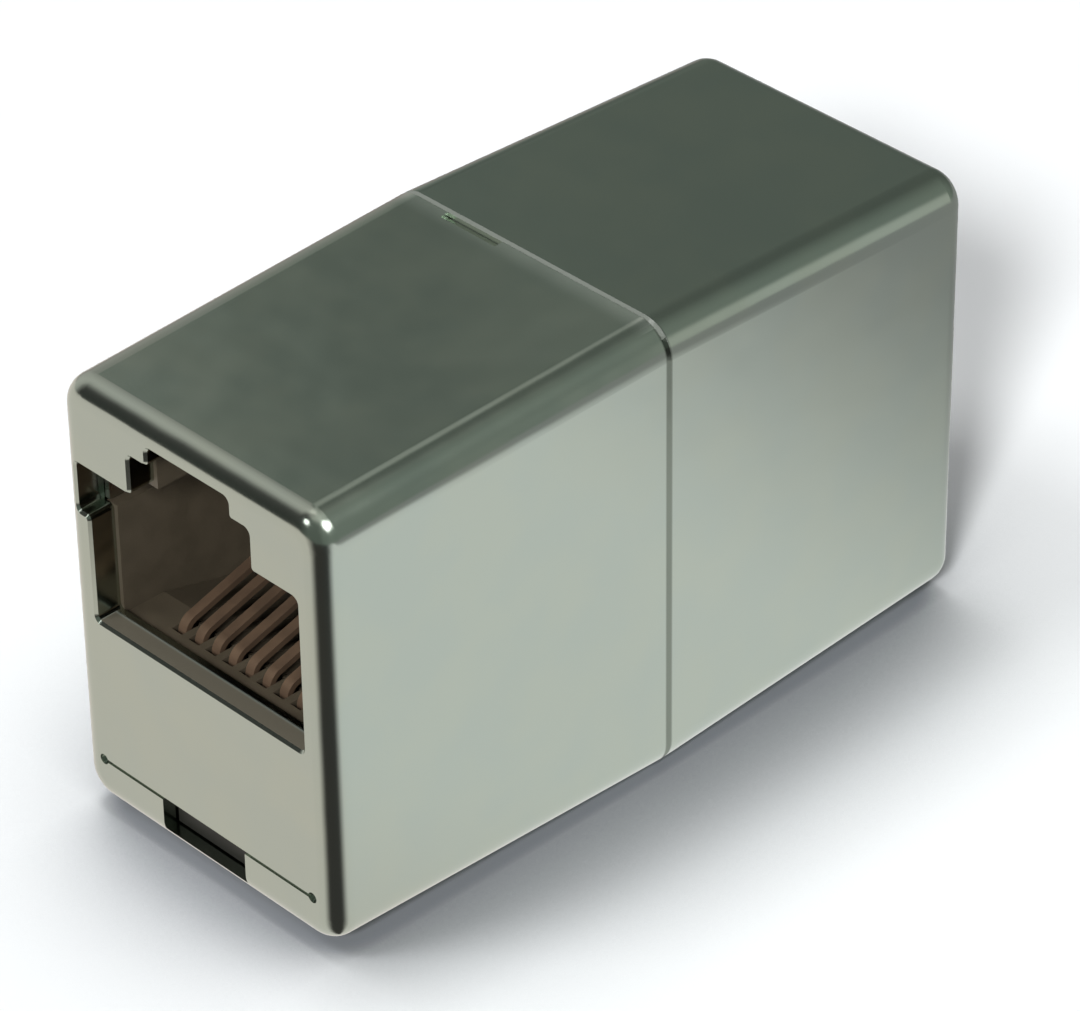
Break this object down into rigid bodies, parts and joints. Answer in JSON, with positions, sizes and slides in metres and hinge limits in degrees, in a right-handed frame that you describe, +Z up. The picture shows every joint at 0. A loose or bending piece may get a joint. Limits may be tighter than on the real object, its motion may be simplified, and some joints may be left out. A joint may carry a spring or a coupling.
{
  "type": "shielded rj45 inline coupler",
  "caption": "Plated two-part coupler that joins two shielded eight-way network plugs end to end, with a keyed socket at each end.",
  "frame": {"origin": "centre of the base of the whole, at the seam's lowest line", "axes": "+X is the width, +Y runs from the front socket to the rear socket, +Z is up, towards the latch side of the sockets"},
  "size_m": [0.0158, 0.0362, 0.0219],
  "materials": {
    "plated_shell": "satin nickel plating",
    "socket_plastic": "dark moulded",
    "carrier_plastic": "black moulded",
    "gold_contact": "gold flash on bronze",
    "spring_steel": "bright spring strip",
    "board": "green solder mask"
  },
  "bodies": {
    "root": {"front_shell": "plated_shell", "rear_shell": "plated_shell", "circuit_board": "board", "front_socket": "socket_plastic", "front_contact_carrier": "carrier_plastic", "front_ground_spring": "spring_steel", "front_contact_1": "gold_contact", "front_contact_2": "gold_contact", "front_contact_3": "gold_contact", "front_contact_4": "gold_contact", "front_contact_5": "gold_contact", "front_contact_6": "gold_contact", "front_contact_7": "gold_contact", "front_contact_8": "gold_contact", "rear_socket": "socket_plastic", "rear_contact_carrier": "carrier_plastic", "rear_ground_spring": "spring_steel", "rear_contact_1": "gold_contact", "rear_contact_2": "gold_contact", "rear_contact_3": "gold_contact", "rear_contact_4": "gold_contact", "rear_contact_5": "gold_contact", "rear_contact_6": "gold_contact", "rear_contact_7": "gold_contact", "rear_contact_8": "gold_contact"}
  },
  "joints": []
}
